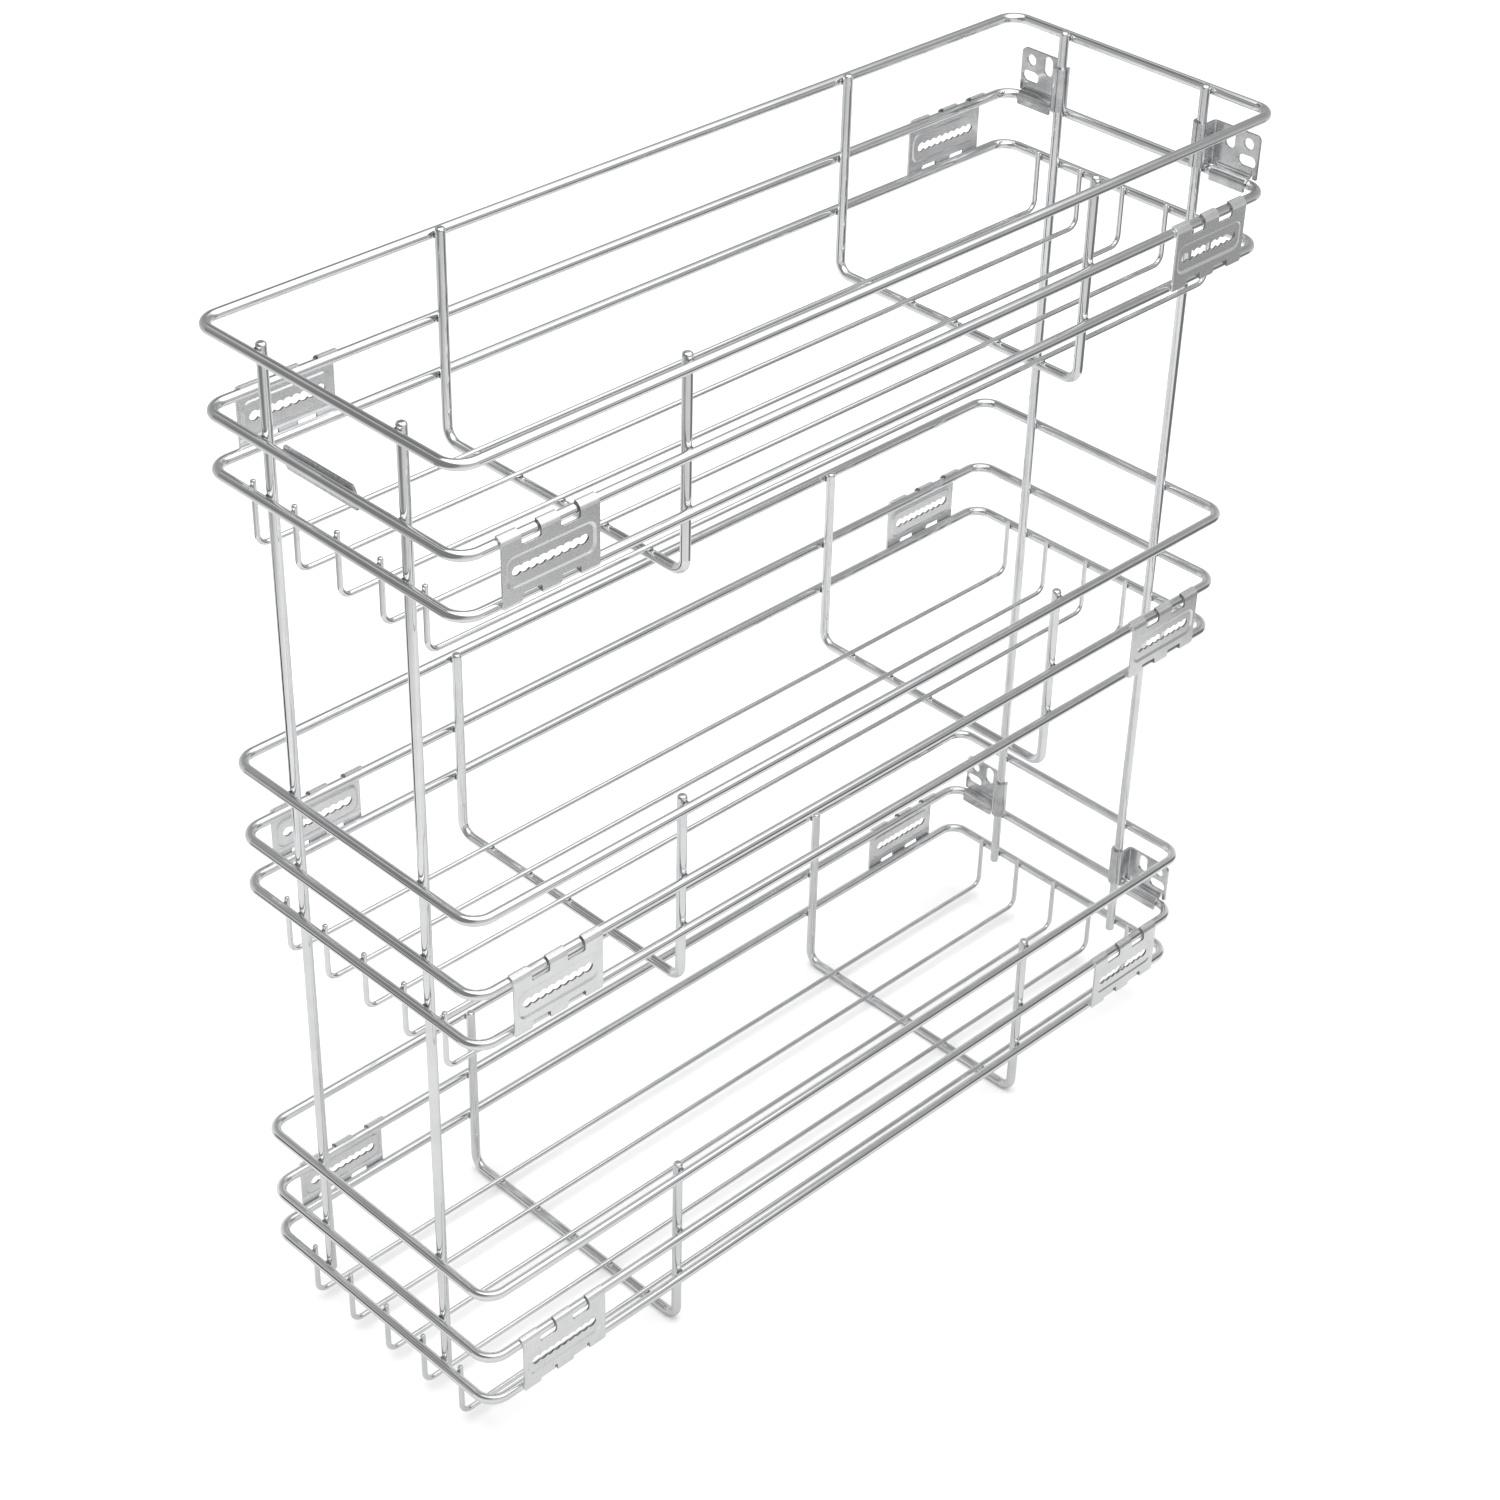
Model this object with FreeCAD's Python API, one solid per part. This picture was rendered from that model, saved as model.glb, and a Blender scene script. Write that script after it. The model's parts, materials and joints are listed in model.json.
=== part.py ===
import FreeCAD, Part
import math
import os

from FreeCAD import Vector

# Three-tier wire basket that pulls out of a narrow kitchen cabinet.
# X runs across the basket, Y along it and Z up. The door end is at -Y.
# All sizes are millimetres, and wire positions are to the wire's centre line.

# Tiers
tier_names = ["lower", "middle", "upper"]
tier_pitch = 200.0

# Rings: the three closed frames of every tier
ring_length = 460.0
ring_width = 150.0
ring_wire = 4.5
ring_corner = 9.0
base_to_rail = 25.4
rail_to_rim = 36.7

# Cross wires: the U-shaped wires that carry the floor of a tier
cross_wire = 4.4
cross_setback = 114.5
cross_drop = 29.2
cross_bend = 6.5
cross_tip = 4.0

# Floor wires
floor_wire = 2.4
floor_count = 5
floor_inset = 24.0
floor_bend = 5.0
floor_tip = 3.5

# Posts that tie the three tiers together
post_wire = 4.5
post_inset = 34.5
post_tip = 3.5
post_foot = 4.0

# Rounded share of a cut wire's radius
tip_rounding = 0.6

# Slide clips: stamped plates that hook over the rail ring and lie round the base ring
clip_setback = 40.5
clip_length = 47.0
clip_sheet = 1.0
clip_clearance = 0.08
clip_rail_turn = 100.0
clip_base_turn = 25.0
clip_tab_count = 3
clip_tab_chamfer = 0.6
clip_window_edge = 2.6
clip_window_corner = 1.0
pad_length = 43.0
pad_height = 13.6
pad_corner = 4.0
pad_depth = 0.6
pad_slope = 0.9
pad_wall = 0.3
slot_length = 37.0
slot_end_radius = 1.4
bite_count = 9
bite_pitch = 4.0
bite_radius = 2.2

# Door brackets: bent plates that sit on a post and on a rail ring.
# Their columns are measured from the post, their heights from the rail ring.
bracket_sheet = 1.4
bracket_gap = 0.3
bracket_bend = 0.5
sleeve_clearance = 0.08
sleeve_turn = 225.0
bracket_top = 23.1
bracket_reach = 28.3
bracket_corner = 2.4
saddle_start = 6.5
saddle_length = 19.0
saddle_lip = 2.6
relief_width = 1.0
relief_height = 2.0
door_column = 22.5
door_hole_radius = 2.7
door_hole_height = 18.0
door_slot_radius = 2.65
door_slot_length = 9.6
door_slot_height = 10.0
side_slot_column = 12.4
side_slot_height = 17.7

# End plate: a strip welded inside the rear of the top rail ring
end_plate_length = 43.4
end_plate_offset = 7.1
end_plate_sheet = 1.2
end_plate_drop = 6.8
end_plate_rise = 2.4
end_plate_lean = 0.6
end_plate_low_cut = 2.5
end_plate_high_cut = 3.0

# Worked out from the sizes above
half_length = ring_length / 2
half_width = ring_width / 2
ring_radius = ring_wire / 2
cross_radius = cross_wire / 2
floor_radius = floor_wire / 2
post_radius = post_wire / 2
cross_side = half_width - ring_radius - cross_radius
floor_end = half_length - ring_radius - floor_radius
floor_pitch = 2 * (half_width - floor_inset) / (floor_count - 1)
post_end = half_length - ring_radius - post_radius
post_side = half_width - post_inset
cross_end = half_length - cross_setback
clip_end = half_length - clip_setback
base_height = cross_radius + cross_drop
rail_height = base_height + base_to_rail
rim_height = rail_height + rail_to_rim
plate_back = half_length + ring_radius - bracket_sheet

ALONG_X = Vector(1, 0, 0)
ALONG_Y = Vector(0, 1, 0)
ALONG_Z = Vector(0, 0, 1)


# A wire's centre line

def rounded_corner(before, corner, after, radius):
    to_before = (before - corner).normalize()
    to_after = (after - corner).normalize()
    half_angle = to_before.getAngle(to_after) / 2
    reach = radius / math.tan(half_angle)
    inward = (to_before + to_after).normalize()
    middle = corner + inward * (radius / math.sin(half_angle) - radius)
    return corner + to_before * reach, middle, corner + to_after * reach


def bent_path(points, radius, closed=False):
    count = len(points)
    inner = range(count) if closed else range(1, count - 1)
    bends = [rounded_corner(points[i - 1], points[i], points[(i + 1) % count], radius) for i in inner]
    run_start = bends[-1][2] if closed else points[0]
    edges = []
    for start, middle, end in bends:
        edges.append(Part.makeLine(run_start, start))
        edges.append(Part.Arc(start, middle, end).toShape())
        run_start = end
    if not closed:
        edges.append(Part.makeLine(run_start, points[-1]))
    return Part.Wire(edges)


def round_bar(path, diameter):
    first = path.Edges[0]
    start = first.valueAt(first.FirstParameter)
    heading = first.tangentAt(first.FirstParameter)
    section = Part.Wire(Part.makeCircle(diameter / 2, start, heading))
    return path.makePipeShell([section], True, False)


def round_tips(bar, tips, diameter):
    ends = [
        edge for edge in bar.Edges
        if isinstance(edge.Curve, Part.Circle) and edge.isClosed()
        and min((edge.Curve.Center - tip).Length for tip in tips) < diameter / 10
    ]
    return bar.makeFillet(diameter / 2 * tip_rounding, ends)


# Outlines for sheet metal

def sheet_outline(segments):
    edges = []
    for points in segments:
        if len(points) == 2:
            edges.append(Part.makeLine(points[0], points[1]))
        else:
            edges.append(Part.Arc(points[0], points[1], points[2]).toShape())
    return Part.Face(Part.Wire(edges))


def rounded_rectangle(centre, across, up, length, height, radius):
    half_across = across * (length / 2)
    half_up = up * (height / 2)
    corners = [
        centre - half_across - half_up,
        centre + half_across - half_up,
        centre + half_across + half_up,
        centre - half_across + half_up,
    ]
    return bent_path(corners, radius, closed=True)


def capsule(centre, across, up, length, radius, depth):
    run = across * (length / 2 - radius)
    side = up * radius
    tip = across * (length / 2)
    outline = sheet_outline([
        (centre - run - side, centre + run - side),
        (centre + run - side, centre + tip, centre + run + side),
        (centre + run + side, centre - run + side),
        (centre - run + side, centre - tip, centre - run - side),
    ])
    return outline.extrude(depth)


def mirrored(solid, side):
    if side > 0:
        return solid
    return solid.mirror(Vector(0, 0, 0), ALONG_X)


# Welded wire work

def make_ring(height):
    corners = [
        Vector(-half_width, -half_length, height),
        Vector(half_width, -half_length, height),
        Vector(half_width, half_length, height),
        Vector(-half_width, half_length, height),
    ]
    return round_bar(bent_path(corners, ring_corner, closed=True), ring_wire)


def make_cross_wire(end, tier_height):
    y = end * cross_end
    floor = tier_height + cross_radius
    tip = tier_height + rim_height + cross_tip
    points = [
        Vector(-cross_side, y, tip),
        Vector(-cross_side, y, floor),
        Vector(cross_side, y, floor),
        Vector(cross_side, y, tip),
    ]
    bar = round_bar(bent_path(points, cross_bend), cross_wire)
    return round_tips(bar, [points[0], points[-1]], cross_wire)


def make_floor_wire(x, tier_height):
    floor = tier_height + cross_wire + floor_radius
    tip = tier_height + base_height + floor_tip
    points = [
        Vector(x, -floor_end, tip),
        Vector(x, -floor_end, floor),
        Vector(x, floor_end, floor),
        Vector(x, floor_end, tip),
    ]
    bar = round_bar(bent_path(points, floor_bend), floor_wire)
    return round_tips(bar, [points[0], points[-1]], floor_wire)


def make_post(side, end):
    top_tier = tier_pitch * (len(tier_names) - 1)
    x = side * post_side
    y = end * post_end
    foot = Vector(x, y, base_height - post_foot)
    head = Vector(x, y, top_tier + rim_height + post_tip)
    bar = Part.makeCylinder(post_radius, head.z - foot.z, foot, ALONG_Z)
    return round_tips(bar, [foot, head], post_wire)


# Slide clip

def hooked_sheet(length_start):
    inner = ring_radius + clip_clearance
    outer = inner + clip_sheet
    rail = Vector(half_width, length_start, rail_height)
    base = Vector(half_width, length_start, base_height)

    def around(centre, radius, degrees):
        angle = math.radians(degrees)
        return centre + Vector(radius * math.cos(angle), 0, radius * math.sin(angle))

    over = clip_rail_turn
    under = -clip_base_turn
    outline = sheet_outline([
        (around(rail, outer, over), around(rail, outer, over / 2), around(rail, outer, 0)),
        (around(rail, outer, 0), around(base, outer, 0)),
        (around(base, outer, 0), around(base, outer, under / 2), around(base, outer, under)),
        (around(base, outer, under), around(base, inner, under)),
        (around(base, inner, under), around(base, inner, under / 2), around(base, inner, 0)),
        (around(base, inner, 0), around(rail, inner, 0)),
        (around(rail, inner, 0), around(rail, inner, over / 2), around(rail, inner, over)),
        (around(rail, inner, over), around(rail, outer, over)),
    ])
    return outline.extrude(ALONG_Y * clip_length)


def clip_windows(y, inner_face):
    depth = clip_sheet * 3
    section = clip_length / (2 * clip_tab_count - 1)
    reach = ring_wire * 2
    windows = []
    for gap in range(clip_tab_count - 1):
        centre_y = y + (gap - (clip_tab_count - 2) / 2) * section * 2
        for edge, way in ((rail_height - clip_window_edge, 1), (base_height + clip_window_edge, -1)):
            centre = Vector(inner_face - depth * 2, centre_y, edge + way * reach / 2)
            outline = rounded_rectangle(centre, ALONG_Y, ALONG_Z, section, reach, clip_window_corner)
            windows.append(Part.Face(outline).extrude(ALONG_X * depth * 4))
    return windows


def sunk_pad(centre, wall):
    length = pad_length + wall * 2
    height = pad_height + wall * 2
    corner = pad_corner + wall
    mouth = rounded_rectangle(centre, ALONG_Y, ALONG_Z, length, height, corner)
    floor = rounded_rectangle(
        centre - ALONG_X * pad_depth, ALONG_Y, ALONG_Z,
        length - pad_slope * 2, height - pad_slope * 2, corner - pad_slope)
    return Part.makeLoft([mouth, floor], True, True)


def scalloped_slot(centre):
    depth = ALONG_X * (clip_sheet + pad_depth) * 3
    start = centre - depth / 2
    slot = capsule(start, ALONG_Y, ALONG_Z, slot_length, slot_end_radius, depth)
    bites = []
    for index in range(bite_count):
        offset = (index - (bite_count - 1) / 2) * bite_pitch
        bites.append(Part.makeCylinder(bite_radius, depth.Length, start + ALONG_Y * offset, ALONG_X))
    return slot.fuse(bites)


def chamfer_base_tabs(clip):
    corners = [
        edge for edge in clip.Edges
        if edge.Length < clip_sheet * 1.1 and edge.BoundBox.ZMax < base_height - ring_radius / 4
    ]
    return clip.makeChamfer(clip_tab_chamfer, corners)


def make_clip(side, end, tier_height):
    y = end * clip_end
    inner_face = half_width + ring_radius + clip_clearance
    outer_face = inner_face + clip_sheet
    pad = Vector(outer_face, y, (rail_height + base_height) / 2)
    clip = hooked_sheet(y - clip_length / 2)
    clip = clip.fuse(sunk_pad(pad - ALONG_X * clip_sheet, pad_wall))
    clip = clip.cut(sunk_pad(pad, 0))
    clip = clip.cut(clip_windows(y, inner_face))
    clip = clip.cut(scalloped_slot(pad)).removeSplitter()
    clip = chamfer_base_tabs(clip)
    clip.translate(ALONG_Z * tier_height)
    return mirrored(clip, side)


# Door bracket

def bracket_profile(bottom):
    post = Vector(post_side, -post_end, bottom)
    inner = post_radius + sleeve_clearance
    outer = inner + bracket_sheet
    bend = Vector(post_side + outer + bracket_bend, bracket_bend - plate_back, bottom)
    diagonal = math.sqrt(0.5)

    def around(radius, degrees):
        angle = math.radians(degrees)
        return post + Vector(radius * math.cos(angle), radius * math.sin(angle), 0)

    def bend_point(radius, across, along):
        return bend - Vector(radius * across, radius * along, 0)

    far_bend = bracket_bend + bracket_sheet
    plate_inner = Vector(post_side + bracket_reach, -plate_back, bottom)
    plate_outer = plate_inner - ALONG_Y * bracket_sheet
    turn = sleeve_turn
    return sheet_outline([
        (around(outer, turn), around(outer, turn / 2), around(outer, 0)),
        (around(outer, 0), bend_point(bracket_bend, 1, 0)),
        (bend_point(bracket_bend, 1, 0), bend_point(bracket_bend, diagonal, diagonal),
         bend_point(bracket_bend, 0, 1)),
        (bend_point(bracket_bend, 0, 1), plate_inner),
        (plate_inner, plate_outer),
        (plate_outer, bend_point(far_bend, 0, 1)),
        (bend_point(far_bend, 0, 1), bend_point(far_bend, diagonal, diagonal),
         bend_point(far_bend, 1, 0)),
        (bend_point(far_bend, 1, 0), around(inner, 0)),
        (around(inner, 0), around(inner, turn / 2), around(inner, turn)),
        (around(inner, turn), around(outer, turn)),
    ])


def bracket_saddle():
    start = post_side + saddle_start
    inner = ring_radius + bracket_gap
    outer = inner + bracket_sheet
    wire = Vector(start, -half_length, rail_height)
    bend = Vector(start, bracket_bend - plate_back, rail_height + outer + bracket_bend)
    diagonal = math.sqrt(0.5)

    def around(radius, back, up):
        return wire + Vector(0, radius * back, radius * up)

    def bend_point(radius, front, down):
        return bend - Vector(0, radius * front, radius * down)

    far_bend = bracket_bend + bracket_sheet
    lip = ALONG_Z * saddle_lip
    outline = sheet_outline([
        (bend_point(bracket_bend, 1, 0), bend_point(bracket_bend, diagonal, diagonal),
         bend_point(bracket_bend, 0, 1)),
        (bend_point(bracket_bend, 0, 1), around(outer, 0, 1)),
        (around(outer, 0, 1), around(outer, diagonal, diagonal), around(outer, 1, 0)),
        (around(outer, 1, 0), around(outer, 1, 0) - lip),
        (around(outer, 1, 0) - lip, around(inner, 1, 0) - lip),
        (around(inner, 1, 0) - lip, around(inner, 1, 0)),
        (around(inner, 1, 0), around(inner, diagonal, diagonal), around(inner, 0, 1)),
        (around(inner, 0, 1), bend_point(far_bend, 0, 1)),
        (bend_point(far_bend, 0, 1), bend_point(far_bend, diagonal, diagonal),
         bend_point(far_bend, 1, 0)),
        (bend_point(far_bend, 1, 0), bend_point(bracket_bend, 1, 0)),
    ])
    return outline.extrude(ALONG_X * saddle_length)


def bracket_cuts(bottom):
    front = Vector(post_side, -plate_back - bracket_sheet * 2, 0)
    depth = ALONG_Y * bracket_sheet * 3
    seat = bracket_gap + ring_radius + bracket_sheet + bracket_bend
    under_plate = Part.makeBox(
        saddle_length, depth.Length, rail_height + seat - bottom,
        front + Vector(saddle_start, 0, bottom))
    relief = seat + relief_height - (bottom - rail_height)
    reliefs = [
        Part.makeBox(relief_width, depth.Length, relief, front + Vector(x, 0, bottom))
        for x in (saddle_start - relief_width, saddle_start + saddle_length)
    ]
    hole = Part.makeCylinder(
        door_hole_radius, depth.Length,
        front + Vector(door_column, 0, rail_height + door_hole_height), ALONG_Y)
    level_slot = capsule(
        front + Vector(door_column, 0, rail_height + door_slot_height),
        ALONG_X, ALONG_Z, door_slot_length, door_slot_radius, depth)
    upright_slot = capsule(
        front + Vector(side_slot_column, 0, rail_height + side_slot_height),
        ALONG_Z, ALONG_X, door_slot_length, door_slot_radius, depth)
    return [under_plate, hole, level_slot, upright_slot] + reliefs


def make_bracket(side, tier_height):
    bottom = rail_height + ring_radius + bracket_gap
    top = rail_height + bracket_top
    bracket = bracket_profile(bottom).extrude(ALONG_Z * (top - bottom))
    corner = [
        edge for edge in bracket.Edges
        if edge.BoundBox.XMin > post_side + bracket_reach - bracket_sheet / 2
        and edge.BoundBox.ZMin > top - bracket_sheet / 2
    ]
    bracket = bracket.makeFillet(bracket_corner, corner)
    bracket = bracket.cut(bracket_cuts(bottom))
    bracket = bracket.fuse(bracket_saddle()).removeSplitter()
    bracket.translate(ALONG_Z * tier_height)
    return mirrored(bracket, side)


# End plate

def make_end_plate(tier_height):
    rail = tier_height + rail_height
    outer = half_length - ring_radius
    inner = outer - end_plate_sheet
    start = end_plate_offset - end_plate_length / 2
    end = end_plate_offset + end_plate_length / 2
    low = rail - end_plate_drop
    high = rail + end_plate_rise

    def at(y, z):
        return Vector(start, y, z)

    lean = end_plate_lean
    profile = sheet_outline([
        (at(outer, low), at(outer, rail)),
        (at(outer, rail), at(outer - lean, high)),
        (at(outer - lean, high), at(inner - lean, high)),
        (at(inner - lean, high), at(inner, rail)),
        (at(inner, rail), at(inner, low)),
        (at(inner, low), at(outer, low)),
    ])
    plate = profile.extrude(ALONG_X * end_plate_length)
    reach = inner - end_plate_sheet
    through = ALONG_Y * end_plate_sheet * 3
    low_corner = Part.makePolygon([
        Vector(end, reach, low),
        Vector(end - end_plate_low_cut, reach, low),
        Vector(end, reach, low + end_plate_low_cut),
        Vector(end, reach, low),
    ])
    high_corner = Part.makePolygon([
        Vector(start, reach, high),
        Vector(start + end_plate_high_cut, reach, high),
        Vector(start, reach, high - end_plate_high_cut),
        Vector(start, reach, high),
    ])
    cuts = [Part.Face(corner).extrude(through) for corner in (low_corner, high_corner)]
    return plate.cut(cuts)


# The whole basket

def make_tier(name, tier_height):
    pieces = {
        name + "_base_ring": make_ring(tier_height + base_height),
        name + "_rail_ring": make_ring(tier_height + rail_height),
        name + "_rim_ring": make_ring(tier_height + rim_height),
    }
    for end_name, end in (("front", -1), ("rear", 1)):
        pieces[name + "_" + end_name + "_cross_wire"] = make_cross_wire(end, tier_height)
        for side_name, side in (("left", -1), ("right", 1)):
            clip_name = name + "_" + end_name + "_" + side_name + "_clip"
            pieces[clip_name] = make_clip(side, end, tier_height)
    for index in range(floor_count):
        x = (index - (floor_count - 1) / 2) * floor_pitch
        pieces[name + "_floor_wire_" + str(index + 1)] = make_floor_wire(x, tier_height)
    return pieces


def make_basket():
    pieces = {}
    for index, name in enumerate(tier_names):
        pieces.update(make_tier(name, index * tier_pitch))
    top_tier = (len(tier_names) - 1) * tier_pitch
    for side_name, side in (("left", -1), ("right", 1)):
        for end_name, end in (("front", -1), ("rear", 1)):
            pieces[end_name + "_" + side_name + "_post"] = make_post(side, end)
        pieces["lower_" + side_name + "_door_bracket"] = make_bracket(side, 0)
        pieces["upper_" + side_name + "_door_bracket"] = make_bracket(side, top_tier)
    pieces["rear_end_plate"] = make_end_plate(top_tier)
    return pieces


os.makedirs("parts", exist_ok=True)
for node, solid in make_basket().items():
    solid.exportStep("parts/" + node + ".step")
    print(node, "valid" if solid.isValid() else "INVALID", len(solid.Solids), round(solid.Volume, 1))
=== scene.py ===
import bmesh
import bpy
import json
import math
from mathutils import Matrix, Quaternion, Vector


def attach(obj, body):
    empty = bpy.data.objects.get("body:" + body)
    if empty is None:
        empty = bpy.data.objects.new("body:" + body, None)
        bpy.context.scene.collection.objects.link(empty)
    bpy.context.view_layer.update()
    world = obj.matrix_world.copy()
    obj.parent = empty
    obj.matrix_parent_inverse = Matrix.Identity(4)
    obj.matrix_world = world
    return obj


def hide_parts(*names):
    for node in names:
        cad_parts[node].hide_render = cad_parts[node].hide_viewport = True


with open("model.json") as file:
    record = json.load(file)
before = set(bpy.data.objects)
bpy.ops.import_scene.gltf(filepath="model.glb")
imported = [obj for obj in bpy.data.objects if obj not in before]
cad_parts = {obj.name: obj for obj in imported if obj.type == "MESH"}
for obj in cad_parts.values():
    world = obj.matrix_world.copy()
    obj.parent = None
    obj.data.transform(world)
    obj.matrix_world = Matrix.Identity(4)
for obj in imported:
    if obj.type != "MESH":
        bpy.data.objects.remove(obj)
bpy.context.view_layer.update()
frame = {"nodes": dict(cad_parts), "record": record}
nodes = frame["nodes"]
subparts = frame["record"]["subparts"]

mm = 0.001
tiers = ("lower", "middle", "upper")


def addNode(tree, kind, **settings):
    node = tree.nodes.new(kind)
    for name, value in settings.items():
        setattr(node, name, value)
    return node


def setInputs(node, **values):
    # socket names are written in camelCase here, so fromMin sets From Min
    for socket in node.inputs:
        words = socket.name.title().replace(" ", "")
        key = words[:1].lower() + words[1:]
        if key in values and socket.enabled:
            socket.default_value = values[key]
    return node


def groupSocket(group, name, way, kind="NodeSocketFloat"):
    group.interface.new_socket(name=name, in_out=way, socket_type=kind)


platingPattern = {"cloudDetail": 4.0, "cloudRoughness": 0.6, "grainDetail": 2.0, "grainRoughness": 0.5,
                  "darkBelow": 0.32, "lightAbove": 0.62, "smoothBelow": 0.3, "roughAbove": 0.7,
                  "bumpDepth": 0.1}    # millimetres


def buildPlatingGroup(look):
    # clouded plating: a slow drift in tone and a fine grain, both centred on 0.5
    group = bpy.data.node_groups.new("platingClouds", "ShaderNodeTree")
    groupSocket(group, "Position", "INPUT", "NodeSocketVector")
    groupSocket(group, "Cloud Scale", "INPUT")
    groupSocket(group, "Grain Scale", "INPUT")
    groupSocket(group, "Clouds", "OUTPUT")
    groupSocket(group, "Grain", "OUTPUT")
    start = addNode(group, "NodeGroupInput")
    end = addNode(group, "NodeGroupOutput")
    cloud = addNode(group, "ShaderNodeTexNoise")
    setInputs(cloud, detail=look["cloudDetail"], roughness=look["cloudRoughness"])
    grain = addNode(group, "ShaderNodeTexNoise")
    setInputs(grain, detail=look["grainDetail"], roughness=look["grainRoughness"])
    group.links.new(start.outputs["Position"], cloud.inputs["Vector"])
    group.links.new(start.outputs["Cloud Scale"], cloud.inputs["Scale"])
    group.links.new(start.outputs["Position"], grain.inputs["Vector"])
    group.links.new(start.outputs["Grain Scale"], grain.inputs["Scale"])
    group.links.new(cloud.outputs["Fac"], end.inputs["Clouds"])
    group.links.new(grain.outputs["Fac"], end.inputs["Grain"])
    return group


platingGroup = buildPlatingGroup(platingPattern)

finishes = {
    "frameChrome": {"light": (0.87, 0.875, 0.88), "dark": (0.79, 0.80, 0.81), "metal": 1.0,
                    "smooth": 0.04, "rough": 0.08, "cloudScale": 60.0, "grainScale": 700.0, "bump": 0.0},
    "floorChrome": {"light": (0.87, 0.875, 0.88), "dark": (0.79, 0.80, 0.81), "metal": 1.0,
                    "smooth": 0.05, "rough": 0.10, "cloudScale": 80.0, "grainScale": 900.0, "bump": 0.0},
    "clipZinc": {"light": (0.82, 0.825, 0.83), "dark": (0.76, 0.765, 0.77), "metal": 0.84,
                 "smooth": 0.22, "rough": 0.28, "cloudScale": 90.0, "grainScale": 2200.0, "bump": 0.01},
    "bracketZinc": {"light": (0.78, 0.785, 0.79), "dark": (0.54, 0.545, 0.55), "metal": 1.0,
                    "smooth": 0.10, "rough": 0.16, "cloudScale": 90.0, "grainScale": 2200.0, "bump": 0.01},
    "endPlateSteel": {"light": (0.86, 0.865, 0.87), "dark": (0.60, 0.61, 0.62), "metal": 1.0,
                      "smooth": 0.06, "rough": 0.14, "cloudScale": 700.0, "grainScale": 2200.0,
                      "bump": 0.05},
    # bare steel on the cut edges, painted darker than bare steel is: painted shade for the gaps where a
    # wire runs behind a tab
    "cutSteel": {"light": (0.36, 0.36, 0.37), "dark": (0.14, 0.14, 0.15), "metal": 0.9,
                 "smooth": 0.35, "rough": 0.55, "cloudScale": 500.0, "grainScale": 2200.0, "bump": 0.10},
    "weldMetal": {"light": (0.36, 0.36, 0.37), "dark": (0.06, 0.06, 0.065), "metal": 1.0,
                  "smooth": 0.20, "rough": 0.50, "cloudScale": 500.0, "grainScale": 2200.0, "bump": 0.15},
}


def buildFinish(name, look, pattern):
    material = bpy.data.materials.new(name)
    material.use_nodes = True
    tree = material.node_tree
    shader = tree.nodes["Principled BSDF"]
    shader.inputs["Metallic"].default_value = look["metal"]
    where = addNode(tree, "ShaderNodeTexCoord")
    plating = addNode(tree, "ShaderNodeGroup", node_tree=platingGroup)
    setInputs(plating, cloudScale=look["cloudScale"], grainScale=look["grainScale"])
    tree.links.new(where.outputs["Object"], plating.inputs["Position"])
    tone = addNode(tree, "ShaderNodeValToRGB")
    tone.color_ramp.elements[0].position = pattern["darkBelow"]
    tone.color_ramp.elements[0].color = (*look["dark"], 1)
    tone.color_ramp.elements[1].position = pattern["lightAbove"]
    tone.color_ramp.elements[1].color = (*look["light"], 1)
    tree.links.new(plating.outputs["Clouds"], tone.inputs["Fac"])
    tree.links.new(tone.outputs["Color"], shader.inputs["Base Color"])
    gloss = addNode(tree, "ShaderNodeMapRange")
    setInputs(gloss, fromMin=pattern["smoothBelow"], fromMax=pattern["roughAbove"], toMin=look["smooth"],
              toMax=look["rough"])
    tree.links.new(plating.outputs["Grain"], gloss.inputs["Value"])
    tree.links.new(gloss.outputs["Result"], shader.inputs["Roughness"])
    if look["bump"]:
        bump = addNode(tree, "ShaderNodeBump")
        setInputs(bump, strength=look["bump"], distance=pattern["bumpDepth"] * mm)
        tree.links.new(plating.outputs["Grain"], bump.inputs["Height"])
        tree.links.new(bump.outputs["Normal"], shader.inputs["Normal"])
    return material


materials = {name: buildFinish(name, look, platingPattern) for name, look in finishes.items()}
finishOfSlot = {"frame_wire_chrome": "frameChrome", "floor_wire_chrome": "floorChrome",
                "clip_zinc": "clipZinc", "bracket_zinc": "bracketZinc", "end_plate_steel": "endPlateSteel"}
for part in subparts:
    node = nodes[part["node"]]
    node.material_slots[0].material = materials[finishOfSlot[part["material_slot"]]]
print("finishes on", len(nodes), "nodes")


# lengths in millimetres, angles in degrees; a bracket or the end plate is bare on all its cut edges, which
# are painted dark: bare steel with painted shade
sheetEdges = {"merge": 0.0005, "flat": 0.5, "sharp": 28.0, "round": 0.12, "segments": 2, "square": 60.0,
              "thickness": 1.0, "cutWidth": 1.4, "bareFacing": 0.0, "bareLength": 200.0, "bareSpeck": 4.5}
clipEdges = {**sheetEdges, "bareFacing": 0.8, "bareLength": 12.0, "padRound": 0.28, "padSegments": 3}
edgesOfSlot = {"clip_zinc": clipEdges, "bracket_zinc": sheetEdges}


def isCutFace(face, look):
    # a strip no wider than the sheet, with square corners along its two sides
    thickness = look["thickness"] * mm
    length = sum(edge.calc_length() for edge in face.edges)
    square = [edge for edge in face.edges if edge.calc_face_angle(0) > math.radians(look["square"])]
    longest = max((edge.calc_length() for edge in face.edges if edge not in square), default=0)
    narrow = 2 * face.calc_area() < thickness * length and longest < thickness * look["cutWidth"]
    return len(square) > 1 and narrow


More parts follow.
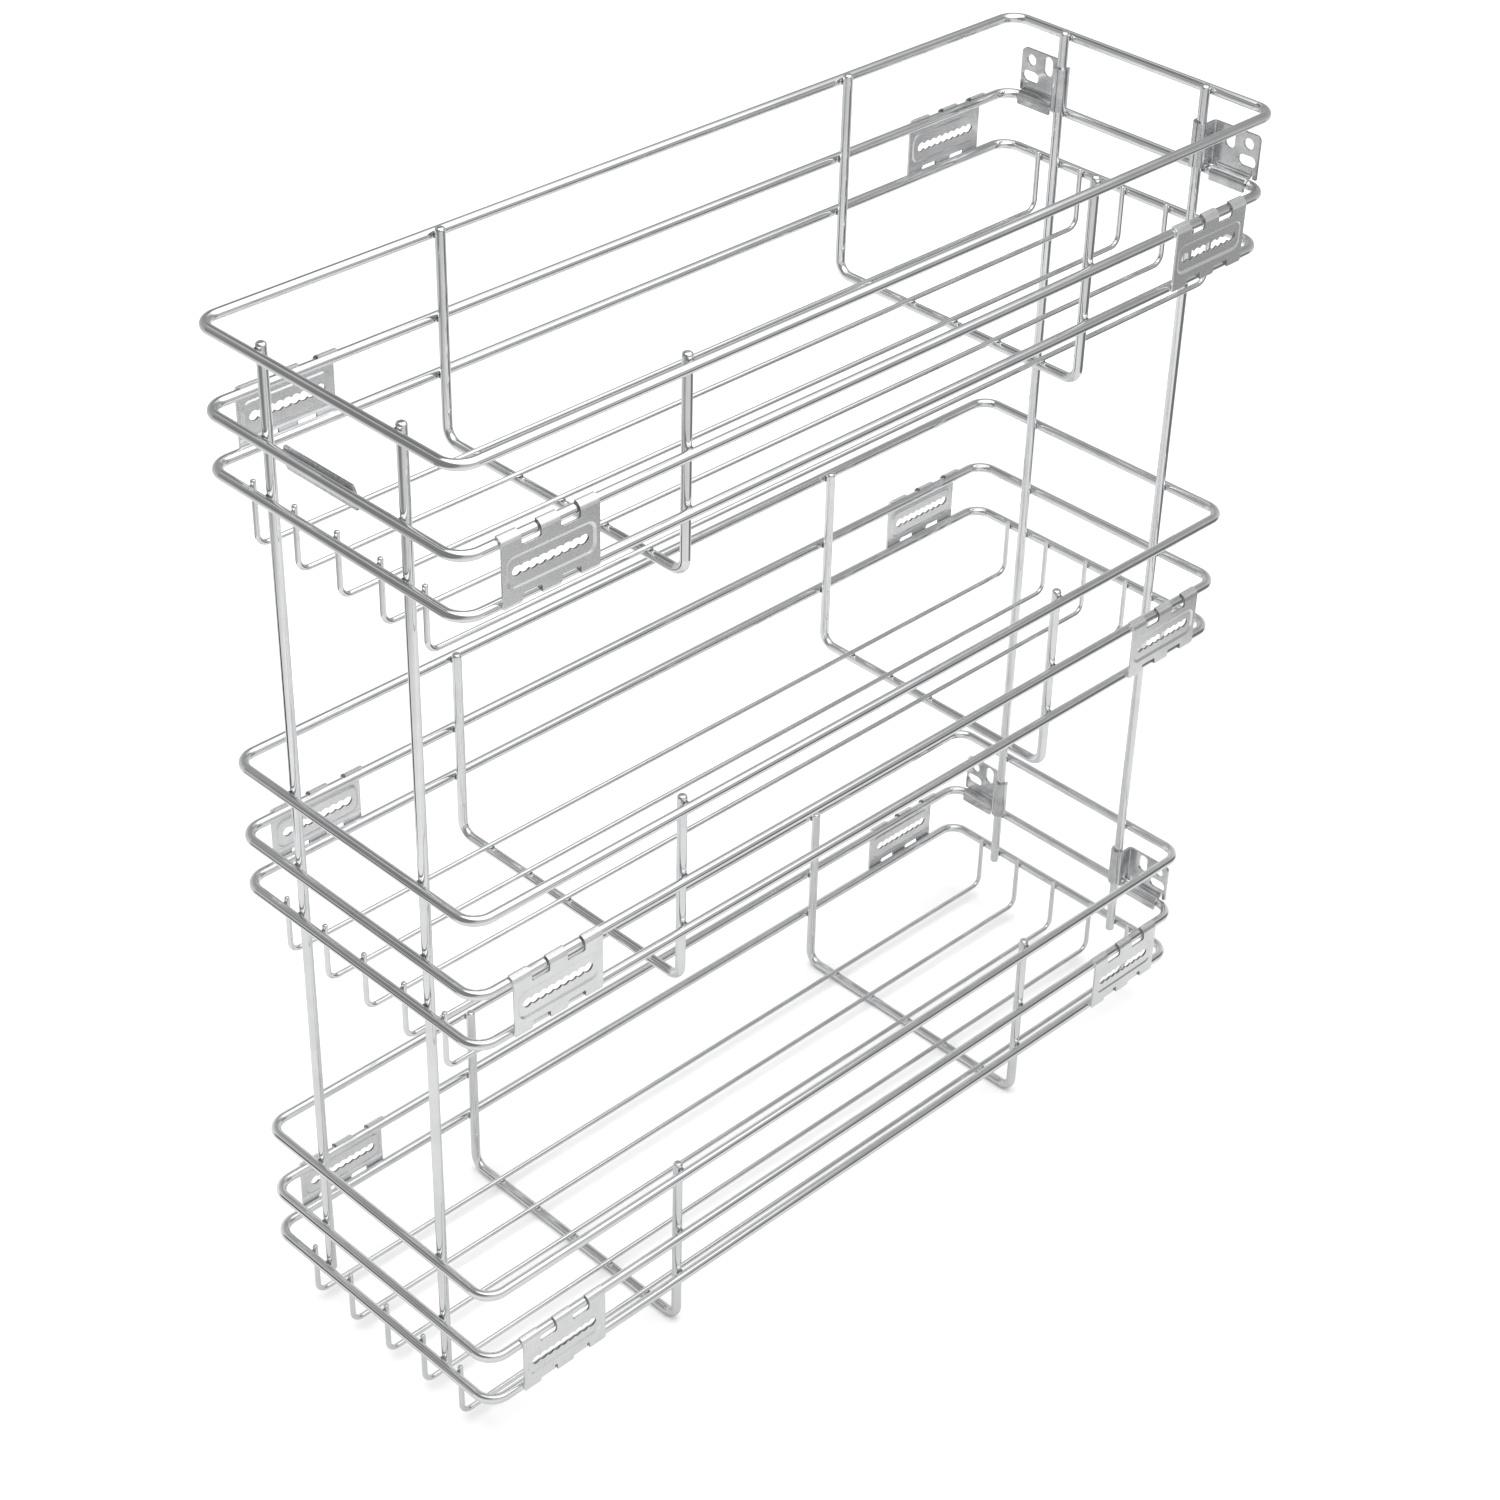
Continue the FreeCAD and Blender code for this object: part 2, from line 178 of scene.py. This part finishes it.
def isBareAndShaded(face, look):
    # the steel shows in the notches and on the scallops, and the long sides kept their plating; these bare
    # faces are painted darker than bare steel is, as painted shade in the gaps where a wire runs behind a
    # tab
    halfRound = sum(edge.calc_length() for edge in face.edges) / 2
    inNotch = abs(face.normal.y) >= look["bareFacing"] and halfRound < look["bareLength"] * mm
    return inNotch or halfRound < look["bareSpeck"] * mm


def softenSheet(nodeName, bodyName, slotName, look):
    # the stamped sheet with its sheared edges rounded, some of them bare and painted dark as bare steel
    # with painted shade, and the rim of its pad softened
    shape = bmesh.new()
    shape.from_mesh(nodes[nodeName].data)
    bmesh.ops.remove_doubles(shape, verts=shape.verts, dist=look["merge"] * mm)
    bmesh.ops.dissolve_limit(shape, angle_limit=math.radians(look["flat"]), verts=shape.verts,
                             edges=shape.edges, use_dissolve_boundaries=False)
    for face in shape.faces:
        # a bare cut face gets the dark cut-edge material, bare steel with painted shade
        if isCutFace(face, look):
            face.material_index = 1 if isBareAndShaded(face, look) else 2
    sharp = [edge for edge in shape.edges
             if edge.is_manifold and edge.calc_face_angle(0) > math.radians(look["sharp"])]
    if "padRound" in look:
        pad = [edge for edge in sharp if not any(face.material_index for face in edge.link_faces)]
        bmesh.ops.bevel(shape, geom=pad, offset=look["padRound"] * mm, segments=look["padSegments"],
                        profile=0.5, affect="EDGES", material=-1, clamp_overlap=True)
        sharp = [edge for edge in sharp
                 if edge.is_valid and any(face.material_index for face in edge.link_faces)]
    bmesh.ops.bevel(shape, geom=sharp, offset=look["round"] * mm, segments=look["segments"], profile=0.5,
                    affect="EDGES", material=-1, clamp_overlap=True)
    for face in shape.faces:
        face.smooth = True
        face.material_index %= 2    # a cut edge that keeps its plating goes back to the first material
    mesh = bpy.data.meshes.new(nodeName + "_sheet")
    shape.to_mesh(mesh)
    shape.free()
    sheet = bpy.data.objects.new(nodeName + "_sheet", mesh)
    bpy.context.scene.collection.objects.link(sheet)
    mesh.materials.append(materials[finishOfSlot[slotName]])
    mesh.materials.append(materials["cutSteel"])
    shading = sheet.modifiers.new("flatFaces", "WEIGHTED_NORMAL")
    shading.keep_sharp = True
    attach(sheet, bodyName)
    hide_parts(nodeName)


for part in subparts:
    slotName = part["material_slot"]
    if slotName in edgesOfSlot:
        softenSheet(part["node"], part["node"], slotName, edgesOfSlot[slotName])
softenSheet("rear_end_plate", "basket", "end_plate_steel", sheetEdges)
print("sheet pieces softened")


# millimetres, as in the frame
weldBeads = {"ringWire": 4.5, "halfLength": 230.0, "halfWidth": 75.0, "ringHeights": (31.4, 56.8, 93.5),
             "tierPitch": 200.0, "postSide": 40.5, "crossEnd": 115.5, "crossWire": 4.4,
             "floorColumns": (-51.0, -25.5, 0.0, 25.5, 51.0),
             "postSpread": (1.9, 0.9, 1.9), "crossSpread": (0.9, 1.9, 1.9),
             "floorSpread": (1.3, 1.3, 0.6), "floorEndSpread": (1.3, 0.6, 1.4), "turn": 2.4}


def weldSpots(look, tierHeight):
    # each spot is where two wires touch, with how far the bead spreads along X, Y and Z
    half = look["ringWire"] / 2
    endY = look["halfLength"] - half
    sideX = look["halfWidth"] - half
    spots = []
    for height in look["ringHeights"]:
        z = tierHeight + height
        for end in (-1, 1):
            for side in (-1, 1):
                spots.append(((side * look["postSide"], end * endY, z), look["postSpread"]))
                spots.append(((side * sideX, end * look["crossEnd"], z), look["crossSpread"]))
    floorTop = tierHeight + look["crossWire"]
    base = tierHeight + look["ringHeights"][0]
    for x in look["floorColumns"]:
        for end in (-1, 1):
            spots.append(((x, end * look["crossEnd"], floorTop), look["floorSpread"]))
            spots.append(((x, end * endY, base), look["floorEndSpread"]))
    return spots


def makeWelds(tier, tierHeight, look):
    shape = bmesh.new()
    for index, (spot, spread) in enumerate(weldSpots(look, tierHeight)):
        turn = Matrix.Rotation(index * look["turn"], 4, Vector(spread).normalized())
        size = Matrix.Diagonal((*(value * mm for value in spread), 1))
        place = Matrix.Translation(Vector(spot) * mm)
        bmesh.ops.create_icosphere(shape, subdivisions=2, radius=1.0, matrix=place @ size @ turn)
    for face in shape.faces:
        face.smooth = True
    mesh = bpy.data.meshes.new(tier + "_welds")
    shape.to_mesh(mesh)
    shape.free()
    welds = bpy.data.objects.new(tier + "_welds", mesh)
    bpy.context.scene.collection.objects.link(welds)
    mesh.materials.append(materials["weldMetal"])
    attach(welds, "basket")


for tierIndex, tier in enumerate(tiers):
    makeWelds(tier, tierIndex * weldBeads["tierPitch"], weldBeads)
print("weld beads on three tiers")


studioFloor = {"size": 12.0, "paper": 0.93, "mirrored": 0.56, "roughness": 0.9}


def makeFloor(look):
    # white paper, a little greyer where the plating mirrors it
    shape = bmesh.new()
    bmesh.ops.create_grid(shape, x_segments=1, y_segments=1, size=look["size"] / 2)
    mesh = bpy.data.meshes.new("studioFloor")
    shape.to_mesh(mesh)
    shape.free()
    floor = bpy.data.objects.new("studioFloor", mesh)
    bpy.context.scene.collection.objects.link(floor)
    paper = bpy.data.materials.new("floorPaper")
    paper.use_nodes = True
    tree = paper.node_tree
    shader = setInputs(tree.nodes["Principled BSDF"], roughness=look["roughness"], specularIorLevel=0.0)
    rays = addNode(tree, "ShaderNodeLightPath")
    tone = addNode(tree, "ShaderNodeMapRange")
    setInputs(tone, toMin=look["paper"], toMax=look["mirrored"])
    tree.links.new(rays.outputs["Is Glossy Ray"], tone.inputs["Value"])
    tree.links.new(tone.outputs["Result"], shader.inputs["Base Color"])
    mesh.materials.append(paper)


# metres; the wall is pairs of height and tone
lightTent = {
    "radius": 0.6, "height": 2.0, "sides": 96,
    "wall": ((0.0, 0.95), (0.18, 0.68), (0.36, 0.60), (0.55, 0.42), (0.8, 0.32), (0.98, 0.66), (1.25, 1.0),
             (2.0, 0.95)),
    "panelFacing": (-0.598, 0.017, 0.801), "panelStart": 0.772, "panelEnd": 1.005, "panelTone": 1.5,
    "flags": {"left": {"place": (-0.436, -0.413, 0.059), "core": 0.265, "reach": 0.39, "tone": 0.19},
              "low": {"place": (0.272, 0.535, 0.054), "core": 0.074, "reach": 0.194, "tone": 0.05},
              "right": {"place": (0.596, -0.071, 1.168), "core": 0.279, "reach": 0.399, "tone": 0.22},
              "corner": {"place": (0.49, 0.345, 1.2), "core": 0.13, "reach": 0.26, "tone": 0.20},
              "rear": {"place": (0.002, 0.6, 0.62), "core": 0.35, "reach": 0.50, "tone": 0.23}},
}


def makeTent(look):
    # what the plating mirrors: a tent seen only in reflections, glowing with painted tones by height, with
    # a bright painted panel at its top on the left and painted dark flags
    shape = bmesh.new()
    bmesh.ops.create_cone(shape, cap_ends=True, segments=look["sides"], radius1=look["radius"],
                          radius2=look["radius"], depth=look["height"],
                          matrix=Matrix.Translation((0, 0, look["height"] / 2)))
    under = [face for face in shape.faces if face.calc_center_median().z < mm]
    bmesh.ops.delete(shape, geom=under, context="FACES_ONLY")
    mesh = bpy.data.meshes.new("lightTent")
    shape.to_mesh(mesh)
    shape.free()
    tent = bpy.data.objects.new("lightTent", mesh)
    bpy.context.scene.collection.objects.link(tent)
    tent.visible_camera = False
    tent.visible_diffuse = False
    tent.visible_shadow = False
    cloth = bpy.data.materials.new("tentCloth")
    cloth.use_nodes = True
    tree = cloth.node_tree
    tree.nodes.clear()
    where = addNode(tree, "ShaderNodeTexCoord")
    axes = addNode(tree, "ShaderNodeSeparateXYZ")
    tree.links.new(where.outputs["Object"], axes.inputs["Vector"])
    rise = setInputs(addNode(tree, "ShaderNodeMapRange"), fromMin=0.0, fromMax=look["height"])
    tree.links.new(axes.outputs["Z"], rise.inputs["Value"])
    wall = addNode(tree, "ShaderNodeValToRGB")
    for index, (height, tone) in enumerate(look["wall"]):
        stops = wall.color_ramp.elements
        stop = stops[index] if index < 2 else stops.new(1.0)
        stop.position = height / look["height"]
        stop.color = (tone, tone, tone, 1)
    tree.links.new(rise.outputs["Result"], wall.inputs["Fac"])

    def fade(value, start, end):
        ramp = addNode(tree, "ShaderNodeMapRange", interpolation_type="SMOOTHSTEP")
        setInputs(ramp, fromMin=start, fromMax=end)
        tree.links.new(value, ramp.inputs["Value"])
        return ramp.outputs["Result"]

    def blend(factor, first, second):
        mix = addNode(tree, "ShaderNodeMixRGB")
        tree.links.new(factor, mix.inputs["Fac"])
        for name, value in (("Color1", first), ("Color2", second)):
            if isinstance(value, float):
                mix.inputs[name].default_value = (value, value, value, 1)
            else:
                tree.links.new(value, mix.inputs[name])
        return mix.outputs["Color"]

    flagged = wall.outputs["Color"]
    for flag in look["flags"].values():
        away = addNode(tree, "ShaderNodeVectorMath", operation="DISTANCE")
        away.inputs[1].default_value = flag["place"]
        tree.links.new(where.outputs["Object"], away.inputs[0])
        flagged = blend(fade(away.outputs["Value"], flag["core"], flag["reach"]), flag["tone"], flagged)
    along = addNode(tree, "ShaderNodeVectorMath", operation="DOT_PRODUCT")
    along.inputs[1].default_value = look["panelFacing"]
    tree.links.new(where.outputs["Object"], along.inputs[0])
    panel = fade(along.outputs["Value"], look["panelStart"], look["panelEnd"])
    glow = addNode(tree, "ShaderNodeEmission")
    tree.links.new(blend(panel, flagged, look["panelTone"]), glow.inputs["Color"])
    end = addNode(tree, "ShaderNodeOutputMaterial")
    tree.links.new(glow.outputs["Emission"], end.inputs["Surface"])
    mesh.materials.append(cloth)


studioLight = {"backdrop": 0.93, "softboxHeight": 2.6, "softboxSize": 3.0, "softboxPower": 60.0}


def makeStudioLight(look):
    world = bpy.data.worlds.new("studioBackdrop")
    bpy.context.scene.world = world
    world.use_nodes = True
    world.node_tree.nodes["Background"].inputs["Color"].default_value = (look["backdrop"],) * 3 + (1,)
    light = bpy.data.lights.new("overheadSoftbox", "AREA")
    light.shape = "SQUARE"
    light.size = look["softboxSize"]
    light.energy = look["softboxPower"]
    box = bpy.data.objects.new("overheadSoftbox", light)
    box.location = (0, 0, look["softboxHeight"])
    box.visible_glossy = False    # the tent stands in for it in the plating
    bpy.context.scene.collection.objects.link(box)


makeFloor(studioFloor)
makeTent(lightTent)
makeStudioLight(studioLight)

# metres, degrees, and millimetres for the lens and the sensor
photoCamera = {"place": (-0.7912, 0.80863, 1.01939), "azimuth": 224.58, "elevation": 34.97, "roll": 1.57,
               "lens": 73.34, "sensor": 36.0}


def makeCamera(look):
    lens = bpy.data.cameras.new("photoCamera")
    lens.lens = look["lens"]
    lens.sensor_width = look["sensor"]
    body = bpy.data.objects.new("photoCamera", lens)
    around, above = math.radians(look["azimuth"]), math.radians(look["elevation"])
    level = math.cos(above)
    back = Vector((math.sin(around) * level, -math.cos(around) * level, math.sin(above)))
    body.location = look["place"]
    body.rotation_mode = "QUATERNION"
    roll = Quaternion((0, 0, 1), math.radians(look["roll"]))
    body.rotation_quaternion = (-back).to_track_quat("-Z", "Y") @ roll
    bpy.context.scene.collection.objects.link(body)
    bpy.context.scene.camera = body


makeCamera(photoCamera)
bpy.context.scene.view_settings.view_transform = "Standard"
print("studio set")
